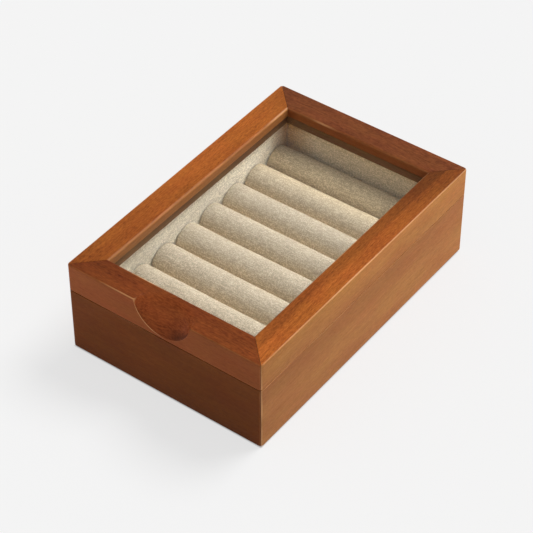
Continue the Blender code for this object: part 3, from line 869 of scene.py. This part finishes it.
def make_walls(settings):
    spans, floor, reach = pockets("hinge_{}_base_leaf", -1)
    for number, side in enumerate(SIDE_TURNS):
        outline, stations = outline_of(wall_section(settings)), ()
        if side == "back":
            foot, rest = outline[:ARRIS_POINTS], outline[2 * ARRIS_POINTS:]
            plain = path_round((0, floor), (0, rim_height), (reach, rim_height),
                               settings.seam_arris)
            cut = path_into_pocket((0, floor), (reach, floor), (reach, rim_height), len(plain))
            outline = foot + plain + rest
            stations = pocket_stations(spans, outline, foot + cut + rest)
        mesh = mitred_piece("base_wall", side, outline, (half_width, half_length),
                            settings.corner_radius, settings.mitre_gap, stations)
        short = side in SHORT_SIDES
        tone = settings.short_wall if short else settings.long_wall
        finish = lacquered_hardwood("lacquered_wall_" + side, settings, (tone,) * 3, not short,
                                    (311 * number, 47 * number, 29 * number), BOARD_LOOKS[side])
        smooth_but_crisp(add_piece("wall_" + side, mesh, finish, "base", ["base_wall_" + side],
                                   "wood_short_wall" if short else "wood_long_wall"))


def make_rails(settings):
    notch = Notch(settings)
    spans, floor, reach = pockets("hinge_{}_lid_leaf", 1)
    tops = {"front": settings.front_rail, "back": settings.back_rail}
    for number, side in enumerate(SIDE_TURNS):
        inner_side = BACK_INNER_PAINTED_LIGHT if side == "back" else INNER_SIDE
        outline, stations = lid_rail_outline(settings, notch, 0, inner_side), ()
        if side == "front":
            stations = [(along, lid_rail_outline(settings, notch, lid_top - height, inner_side))
                        for along, height in notch.outline]
        if side == "back":
            plain = path_round((reach, lid_low), (0, lid_low), (0, floor), settings.seam_arris)
            cut = path_into_pocket((reach, lid_low), (reach, floor), (0, floor), len(plain))
            lifted = [point for point in outline[:-ARRIS_POINTS]
                      if point[0] > 0 or point[1] > floor]
            outline = lifted + plain
            stations = pocket_stations(spans, outline, lifted + cut)
        mesh = mitred_piece("lid_rail", side, outline, (half_width, half_length),
                            settings.corner_radius, settings.mitre_gap, stations)
        short = side in SHORT_SIDES
        outer = settings.short_rail_side if short else settings.long_rail_side
        tones = (tops.get(side, settings.long_rail), outer, settings.scoop)
        finish = lacquered_hardwood("lacquered_rail_" + side, settings, tones, not short,
                                    (173 * number, 61 * number, 83 * number), BOARD_LOOKS[side])
        smooth_but_crisp(add_piece("rail_" + side, mesh, finish, "lid", ["lid_rail_" + side],
                                   "wood_short_rail" if short else "wood_long_rail"))


def make_beads(settings):
    low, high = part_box("glass_bead_right")
    outer_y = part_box("glass_bead_back")[1].y
    outline = outline_of([(0, low.z, 0), (0, high.z, 0), (high.x - low.x, high.z, 0),
                          (high.x - low.x, low.z, settings.bead_arris)])
    for number, side in enumerate(SIDE_TURNS):
        mesh = mitred_piece("glass_bead", side, outline, (high.x, outer_y), 0,
                            settings.mitre_gap)
        finish = lacquered_hardwood("lacquered_bead_" + side, settings, (settings.bead,) * 3,
                                    side not in SHORT_SIDES, (97 * number, 13 * number, 7))
        smooth_but_crisp(add_piece("bead_" + side, mesh, finish, "lid",
                                   ["glass_bead_" + side], "bead_wood"))


# Linen

def make_lining(settings):
    side_tone, end_tone = settings.side_lining, settings.end_lining
    # Painted shade: the linen darkens and warms into the back left corner on both kinds of board.
    # The side boards are also darker towards the front and paler behind the middle
    corner = [value * share for value, share in zip(end_tone, (0.81, 0.56, 0.3))]
    sides = woven_linen("linen_side_lining", settings, side_tone, [
        (scaled(side_tone, 0.81), "Y", 0.3 * half_length, -0.8 * half_length),
        (scaled(side_tone, 1.14), "Y", 0.1 * half_length, 0.4 * half_length),
        (corner, "Y", 0.71 * half_length, 0.86 * half_length)])
    ends = woven_linen("linen_end_lining", settings, end_tone, [
        (corner, "X", -0.48 * half_width, -0.75 * half_width)])
    for side in SIDE_TURNS:
        node = "liner_" + side
        finish = ends if side in SHORT_SIDES else sides
        mesh = rounded_block(node, *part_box(node), settings.lining_edge, 5)
        lay_cloth(mesh, over_a_board)
        piece = add_piece("lining_" + side, mesh, finish, "base", [node], "linen")
        smooth_but_crisp(piece)


def roll_cage(settings, low, high):
    """One ring roll round the origin of its foot: a flat foot and a round crown."""
    crown = (high.y - low.y) / 2
    height = high.z - low.z
    half = (high.x - low.x) / 2
    foot = settings.foot_radius
    crown_steps, side_steps, length_steps, end_steps = 26, 6, 54, 4
    centre = height - crown
    section = arc(0, centre, crown, 0, math.pi, crown_steps)
    rises = [(centre - foot) * i / side_steps for i in range(side_steps + 1)]
    section += [(-crown, centre - rise) for rise in rises[1:]]
    section += [((crown - foot) * (2 * i / side_steps - 1), 0) for i in range(side_steps + 1)]
    section += [(crown, foot + rise) for rise in rises[:-1]]

    draw = settings.end_draw
    turns = [RIGHT_ANGLE * i / end_steps for i in range(1, end_steps + 1)]
    ends = [(half - draw + draw * math.sin(t), 1 - draw * (1 - math.cos(t)) / crown)
            for t in turns]
    ends += [(half, (1 - draw / crown) * share) for share in (0.8, 0.55, 0.3, 0.1)]
    places = [(-along, share) for along, share in reversed(ends)]
    places += [((half - draw) * (2 * i / length_steps - 1), 1) for i in range(length_steps + 1)]
    places += ends
    middle = height / 2
    rings = [[(along, y * share, middle + (z - middle) * share, 0, 0, 0) for y, z in section]
             for along, share in places]
    return loft("roll_cage", rings)


def around_a_roll(boxes):
    """Cloth that is wrapped once round each roll, along its length."""
    # How far one roll's cloth starts from the next one's, in rolls, so that none is used twice
    apart = 3

    def unroll(point, normal):
        low, high = min(boxes, key=lambda box: abs(box[0].y + box[1].y - 2 * point.y))
        middle, crown = (low.y + high.y) / 2, (high.y - low.y) / 2
        across, up = point.y - middle, point.z - (high.z - crown)
        if abs(normal.x) > 0.8:
            return across, up
        if up > 0:
            return point.x, middle * apart + crown * math.atan2(across, up)
        return point.x, middle * apart + math.copysign(crown * RIGHT_ANGLE - up, across)

    return unroll


def new_tree(name, inputs):
    """A geometry tree with named inputs, what adds nodes to it and the inputs' sockets."""
    tree = bpy.data.node_groups.new(name, "GeometryNodeTree")
    tree.is_modifier = True
    for label, kind in (("Geometry", "Geometry"), *inputs):
        tree.interface.new_socket(label, in_out="INPUT", socket_type="NodeSocket" + kind)
    tree.interface.new_socket("Geometry", in_out="OUTPUT", socket_type="NodeSocketGeometry")
    add = partial(add_node, tree)
    return tree, add, add("NodeGroupInput", out=None)


def end_tree(add, instances, material):
    """Ends a tree with its instances made real and given their material."""
    real = add("GeometryNodeRealizeInstances", {"Geometry": instances})
    made = add("GeometryNodeSetMaterial", {"Geometry": real, "Material": material})
    add("NodeGroupOutput", {"Geometry": made}, out=None)


def run_tree(tree, mesh, values):
    """The plain mesh that a tree makes of a mesh."""
    carrier = scene_object(tree.name, mesh)
    modifier = carrier.modifiers.new(tree.name, "NODES")
    modifier.node_group = tree
    for item in tree.interface.items_tree:
        if item.in_out == "INPUT" and item.name in values:
            modifier[item.identifier] = values[item.name]
    made = evaluated_mesh(carrier)
    bpy.data.objects.remove(carrier)
    return made


def roll_row_tree():
    """Puts one roll on each point and dents the linen of each a little differently."""
    tree, add, given = new_tree("ring_roll_row", (
        ("Roll", "Object"), ("Unevenness", "Float"), ("Dent Length", "Float"), ("Seed", "Int"),
        ("Linen", "Material")))
    roll = add("GeometryNodeObjectInfo", {"Object": given["Roll"]}, out="Geometry")
    share = add("GeometryNodeInputNamedAttribute", {"Name": "width_share"}, data_type="FLOAT")
    rolls = add("GeometryNodeInstanceOnPoints", {
        "Points": given["Geometry"], "Instance": roll,
        "Scale": add("CombineXYZ", [1, share, 1])})
    real = add("GeometryNodeRealizeInstances", {"Geometry": rolls})
    fineness = add("Math", [1, given["Dent Length"]], operation="DIVIDE")
    noise = add("TexNoise", {
        "Vector": add("GeometryNodeInputPosition"), "W": given["Seed"], "Scale": fineness,
        "Detail": 2}, noise_dimensions="4D")
    dent = add("Math", [noise, 0.5], **MINUS)
    depth = add("Math", [dent, given["Unevenness"]], **TIMES)
    offset = add("VectorMath", {0: add("GeometryNodeInputNormal"), "Scale": depth},
                 operation="SCALE")
    dented = add("GeometryNodeSetPosition", {"Geometry": real, "Offset": offset})
    end_tree(add, dented, given["Linen"])
    return tree


def stretch_cloth(obj, slack, held_below, frames=14):
    """Blows the wrapped cloth out as the foam does, and lets it lift no further than its slack."""
    mesh = obj.data
    start = np.array([v.co for v in mesh.vertices])
    group = obj.vertex_groups.new(name="glued")
    group.add([v.index for v in mesh.vertices if v.co.z < held_below], 1, "REPLACE")
    cloth = obj.modifiers.new("cloth", "CLOTH")
    cloth.settings.vertex_group_mass = "glued"
    cloth.settings.quality = 5
    cloth.settings.tension_stiffness = 12
    cloth.settings.bending_stiffness = 0.3
    cloth.settings.use_pressure = True
    cloth.settings.uniform_pressure_force = 3
    cloth.settings.effector_weights.gravity = 0
    cloth.point_cache.frame_start, cloth.point_cache.frame_end = 1, frames
    for number in range(1, frames + 1):
        bpy.context.scene.frame_set(number)
    shown = obj.evaluated_get(bpy.context.evaluated_depsgraph_get())
    moved = np.array([v.co for v in shown.data.vertices]) - start
    lengths = np.linalg.norm(moved, axis=1)
    soft = slack * np.tanh(lengths / slack)
    moved *= (soft / np.maximum(lengths, 1e-9))[:, None]
    obj.modifiers.remove(cloth)
    obj.vertex_groups.remove(group)
    bpy.context.scene.frame_set(1)
    for vertex, point in zip(mesh.vertices, start + moved):
        vertex.co = point


def make_rolls(settings):
    nodes = sorted(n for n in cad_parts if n.startswith("ring_roll_"))
    boxes = [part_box(node) for node in nodes]
    low, high = boxes[-1]
    slack = settings.slack
    cage = scene_object("roll", roll_cage(settings, low + Vector((slack, slack, 0)),
                                          high - Vector((slack, slack, slack))))
    feet = bpy.data.meshes.new("roll_feet")
    feet.from_pydata([(0, (one.y + two.y) / 2, one.z) for one, two in boxes], [], [])
    shares = feet.attributes.new("width_share", "FLOAT", "POINT")
    for value, (one, two) in zip(shares.data, boxes):
        value.value = (two.y - one.y) / (high.y - low.y)
    # Painted shade: greyer linen low on each roll's flanks, and a painted shadow of the back rail
    # on the rolls towards the back
    finish = woven_linen("linen_roll", settings, settings.cloth, [
        (settings.flank, "Z", high.z - 0.5 * MM, high.z - 6.5 * MM),
        (settings.shaded, "Y", 0.45 * half_length, 0.7 * half_length)])
    mesh = run_tree(roll_row_tree(), feet, {
        "Roll": cage, "Unevenness": settings.unevenness, "Dent Length": settings.dent_length,
        "Seed": settings.seed, "Linen": finish})
    bpy.data.objects.remove(cage)
    for name in (*WOOD_VALUES, "width_share"):
        if name in mesh.attributes:
            mesh.attributes.remove(mesh.attributes[name])
    row = scene_object("rolls", mesh)
    stretch_cloth(row, slack, held_below=low.z + settings.foot_radius * 4)
    lay_cloth(mesh, around_a_roll(boxes))
    bpy.data.objects.remove(row)
    piece = add_piece("ring_rolls", mesh, finish, "base", nodes, "linen")
    mesh.shade_smooth()


# Glass, brass and the hidden layers

def make_glass(settings):
    mesh = rounded_block("pane", *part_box("lid_glass"), settings.arris, 2)
    piece = add_piece("glass_pane", mesh, float_glass("float_glass", settings), "lid",
                      ["lid_glass"], "glass")
    smooth_but_crisp(piece)


def make_under_layers():
    plain = (("bottom_panel", "plywood_panel", birch_plywood("birch_plywood"), "panel_wood"),
             ("insert_spacer", "foam_spacer", open_foam("open_foam"), "foam"),
             ("roll_board", "grey_card", grey_board("grey_board"), "card"))
    for node, name, finish, slot in plain:
        mesh = rounded_block(name, *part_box(node), 0.3 * MM, 3)
        smooth_but_crisp(add_piece(name, mesh, finish, "base", [node], slot))
    mesh = merged_copy("base_felt", "felt_base")
    piece = add_piece("felt_base", mesh, wool_felt("wool_felt"), "base", ["base_felt"], "felt")
    smooth_but_crisp(piece)


def make_hinges(settings):
    brass = satin_brass("satin_brass", settings.leaf)
    for side in HINGE_SIDES:
        for part, body in (("base_leaf", "base"), ("lid_leaf", "lid"), ("pin", "base")):
            node = "hinge_{}_{}".format(side, part)
            name = "brass_{}_{}".format(side, part)
            piece = add_piece(name, merged_copy(node, name), brass, body, [node], "brass")
            if part != "pin":
                bevel = piece.modifiers.new("eased_edges", "BEVEL")
                bevel.width = settings.edge
                bevel.segments = 2
                bevel.limit_method = "ANGLE"
                bevel.angle_limit = math.radians(40)
            smooth_but_crisp(piece)


def screw_tree():
    """Slotted countersunk screws, one on each point, head up at the point."""
    tree, add, given = new_tree("countersunk_screws", (
        ("Head Radius", "Float"), ("Head Height", "Float"), ("Shank Radius", "Float"),
        ("Length", "Float"), ("Tip Length", "Float"), ("Slot Width", "Float"),
        ("Slot Depth", "Float"), ("Flip", "Float"), ("Seed", "Int"), ("Brass", "Material")))
    sides = 32

    def lowered(mesh, drop):
        height = add("Math", [0, drop], **MINUS)
        return add("GeometryNodeTransform",
                   {"Geometry": mesh, "Translation": add("CombineXYZ", {"Z": height})})

    head = lowered(add("GeometryNodeMeshCone", {
        "Vertices": sides, "Radius Top": given["Head Radius"],
        "Radius Bottom": given["Shank Radius"], "Depth": given["Head Height"]}),
        given["Head Height"])
    shank_length = add("Math", [given["Length"], given["Tip Length"]], **MINUS)
    shank = add("GeometryNodeMeshCylinder", {
        "Vertices": sides, "Radius": given["Shank Radius"], "Depth": shank_length})
    shank = lowered(shank, add("Math", [shank_length, 0.5, given["Slot Depth"]], **TIMES_PLUS))
    tip = lowered(add("GeometryNodeMeshCone", {
        "Vertices": sides, "Radius Top": given["Shank Radius"], "Radius Bottom": 0,
        "Depth": given["Tip Length"]}), given["Length"])
    slot = add("GeometryNodeMeshCube", {"Size": add("CombineXYZ", [
        add("Math", [given["Head Radius"], 3], **TIMES), given["Slot Width"],
        add("Math", [given["Slot Depth"], 2], **TIMES)])})
    slotted = add("GeometryNodeMeshBoolean", {"Mesh 1": head, "Mesh 2": slot},
                  operation="DIFFERENCE")
    whole = add("GeometryNodeJoinGeometry")
    for mesh in (slotted, shank, tip):
        fill(whole.node, {"Geometry": mesh})
    turn = add("FunctionNodeRandomValue", {"Seed": given["Seed"]}, out=1, data_type="FLOAT")
    facing = add("CombineXYZ", {
        "X": add("Math", [given["Flip"], math.pi], **TIMES),
        "Z": add("Math", [turn, math.pi], **TIMES)})
    screws = add("GeometryNodeInstanceOnPoints", {
        "Points": given["Geometry"], "Instance": whole, "Rotation": facing})
    end_tree(add, screws, given["Brass"])
    return tree


def make_screws(settings):
    finish = satin_brass("screw_brass", settings.screw)
    tree = screw_tree()
    for body, flip in (("base", 0), ("lid", 1)):
        nodes = sorted(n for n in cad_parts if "_{}_screw_".format(body) in n)
        heads = []
        for node in nodes:
            low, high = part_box(node)
            heads.append(((low.x + high.x) / 2, (low.y + high.y) / 2, low.z if flip else high.z))
        points = bpy.data.meshes.new(body + "_screw_heads")
        points.from_pydata(heads, [], [])
        mesh = run_tree(tree, points, {
            "Head Radius": (high.x - low.x) / 2, "Head Height": settings.head_height,
            "Shank Radius": settings.shank_radius, "Length": high.z - low.z,
            "Tip Length": settings.tip_length, "Slot Width": settings.slot_width,
            "Slot Depth": settings.slot_depth, "Flip": flip, "Seed": settings.seed + flip,
            "Brass": finish})
        smooth_but_crisp(add_piece(body + "_screws", mesh, finish, body, nodes, "screw_brass"))


# Stage

def seen_by_eye(add):
    """1 for what the camera sees, straight or in a reflection or through glass."""
    rays = add("LightPath", out=None)
    indirect = add("Math", [rays["Is Glossy Ray"], rays["Is Transmission Ray"]], **LARGER)
    return add("Math", [rays["Is Camera Ray"], indirect], **LARGER)


def paper_sweep(name, settings):
    """Matte white paper. Its shadow is lifted for the eye, but not right under the box."""
    material, add, shader = new_material(name)
    shade = settings.floor
    pulp = blotches(add, in_millimetres(add), (3, 3, 3), 3)
    fill(shader, {
        "Base Color": add("Mix", {0: pulp, 6: scaled(shade, 0.995), 7: shade}, **COLOURS),
        "Roughness": 0.8, "Specular IOR Level": 0})
    glow = add("Emission", {"Color": shade, "Strength": 1})
    where = add("SeparateXYZ", [add("TexCoord", out="Object")], out=None)
    beside = add("Math", [
        add("MapRange", [add("Math", [where[axis]], **UNSIGNED), half - 1.5 * MM, half])
        for axis, half in (("X", half_width), ("Y", half_length))], **LARGER)
    lift = add("Math", [beside, settings.lift], **TIMES)
    lifted = add("Math", [seen_by_eye(add), lift], **TIMES)
    fill(material.node_tree.nodes["Material Output"],
         {"Surface": add("MixShader", [lifted, shader.outputs["BSDF"], glow])})
    return material


def make_stage(settings):
    scene = bpy.context.scene
    scene.view_settings.view_transform = "Standard"

    floor_reach = 6
    bm = bmesh.new()
    bmesh.ops.create_grid(bm, x_segments=8, y_segments=8, size=floor_reach)
    floor_mesh = mesh_from(bm, "paper_floor")
    floor_mesh.materials.append(paper_sweep("paper_sweep", settings))
    scene_object("paper_floor", floor_mesh)

    lamp = bpy.data.lights.new("soft_key", "SUN")
    lamp.energy = settings.lamp
    lamp.angle = settings.lamp_softness
    key = scene_object("soft_key", lamp)
    key.rotation_euler = Vector(settings.lamp_side).to_track_quat("Z", "Y").to_euler()

    world = bpy.data.worlds.new("studio")
    world.use_nodes = True
    scene.world = world
    tree = world.node_tree
    tree.nodes.clear()
    add = partial(add_node, tree)
    lit = add("Background", {"Color": WHITE, "Strength": settings.fill})
    backdrop = add("Background", {"Color": settings.floor, "Strength": 1})
    either = add("MixShader", [seen_by_eye(add), lit, backdrop])
    add("OutputWorld", {"Surface": either}, out=None)

    camera = bpy.data.cameras.new("camera")
    camera.lens = settings.lens
    eye = scene_object("camera", camera)
    round_it, up = settings.azimuth, settings.elevation
    back = Vector((math.sin(round_it) * math.cos(up), -math.cos(round_it) * math.cos(up),
                   math.sin(up)))
    eye.location = Vector(settings.aim) + back * settings.distance
    eye.rotation_euler = back.to_track_quat("Z", "Y").to_euler()
    scene.camera = eye


# Operators

class RINGBOX_OT_walls(bpy.types.Operator):
    """Make the four mitred walls of the base"""
    bl_idname = "ringbox.walls"
    bl_label = "Base Walls"

    def execute(self, context):
        make_walls(context.scene.ring_box.wood)
        return {"FINISHED"}


class RINGBOX_OT_rails(bpy.types.Operator):
    """Make the lid's mitred rails, with the finger notch, and the beads under the glass"""
    bl_idname = "ringbox.rails"
    bl_label = "Lid Frame"

    def execute(self, context):
        make_rails(context.scene.ring_box.wood)
        make_beads(context.scene.ring_box.wood)
        return {"FINISHED"}


class RINGBOX_OT_glass(bpy.types.Operator):
    """Make the glass pane of the lid"""
    bl_idname = "ringbox.glass"
    bl_label = "Glass Pane"

    def execute(self, context):
        make_glass(context.scene.ring_box.glass)
        return {"FINISHED"}


class RINGBOX_OT_lining(bpy.types.Operator):
    """Make the linen-covered boards that line the base"""
    bl_idname = "ringbox.lining"
    bl_label = "Lining"

    def execute(self, context):
        make_lining(context.scene.ring_box.linen)
        return {"FINISHED"}


class RINGBOX_OT_rolls(bpy.types.Operator):
    """Make the ring rolls, foam bars wrapped in linen"""
    bl_idname = "ringbox.rolls"
    bl_label = "Ring Rolls"

    def execute(self, context):
        make_rolls(context.scene.ring_box.linen)
        return {"FINISHED"}


class RINGBOX_OT_under_layers(bpy.types.Operator):
    """Make the bottom panel, the felt under it and the layers that carry the rolls"""
    bl_idname = "ringbox.under_layers"
    bl_label = "Bottom and Under Layers"

    def execute(self, context):
        make_under_layers()
        return {"FINISHED"}


class RINGBOX_OT_hinges(bpy.types.Operator):
    """Make the leaves and pins of the two stop hinges"""
    bl_idname = "ringbox.hinges"
    bl_label = "Hinges"

    def execute(self, context):
        make_hinges(context.scene.ring_box.brass)
        return {"FINISHED"}


class RINGBOX_OT_screws(bpy.types.Operator):
    """Make the slotted screws that hold the hinges"""
    bl_idname = "ringbox.screws"
    bl_label = "Hinge Screws"

    def execute(self, context):
        make_screws(context.scene.ring_box.brass)
        return {"FINISHED"}


class RINGBOX_OT_stage(bpy.types.Operator):
    """Make the floor, the lights and the camera"""
    bl_idname = "ringbox.stage"
    bl_label = "Stage"

    def execute(self, context):
        make_stage(context.scene.ring_box.stage)
        return {"FINISHED"}


STEPS = (RINGBOX_OT_walls, RINGBOX_OT_rails, RINGBOX_OT_glass, RINGBOX_OT_lining,
         RINGBOX_OT_rolls, RINGBOX_OT_under_layers, RINGBOX_OT_hinges, RINGBOX_OT_screws,
         RINGBOX_OT_stage)


class RINGBOX_PT_panel(bpy.types.Panel):
    """Lists the settings and steps of the ring box"""
    bl_idname = "RINGBOX_PT_panel"
    bl_label = "Ring Box"
    bl_space_type = "VIEW_3D"
    bl_region_type = "UI"
    bl_category = "Ring Box"

    def draw(self, context):
        settings = context.scene.ring_box
        for group in (settings.wood, settings.linen, settings.glass, settings.brass,
                      settings.stage):
            box = self.layout.box()
            for name in group.__annotations__:
                box.prop(group, name)
        for step in STEPS:
            self.layout.operator(step.bl_idname)


GROUPS = (WoodSettings, LinenSettings, GlassSettings, BrassSettings, StageSettings,
          RingBoxSettings)


def register():
    for cls in (*GROUPS, *STEPS, RINGBOX_PT_panel):
        bpy.utils.register_class(cls)
    bpy.types.Scene.ring_box = PointerProperty(type=RingBoxSettings)


def unregister():
    del bpy.types.Scene.ring_box
    for cls in reversed((*GROUPS, *STEPS, RINGBOX_PT_panel)):
        bpy.utils.unregister_class(cls)


def main():
    register()
    bpy.ops.ringbox.walls()
    bpy.ops.ringbox.rails()
    bpy.ops.ringbox.glass()
    bpy.ops.ringbox.lining()
    bpy.ops.ringbox.rolls()
    bpy.ops.ringbox.under_layers()
    bpy.ops.ringbox.hinges()
    bpy.ops.ringbox.screws()
    bpy.ops.ringbox.stage()


if __name__ == "__main__":
    main()
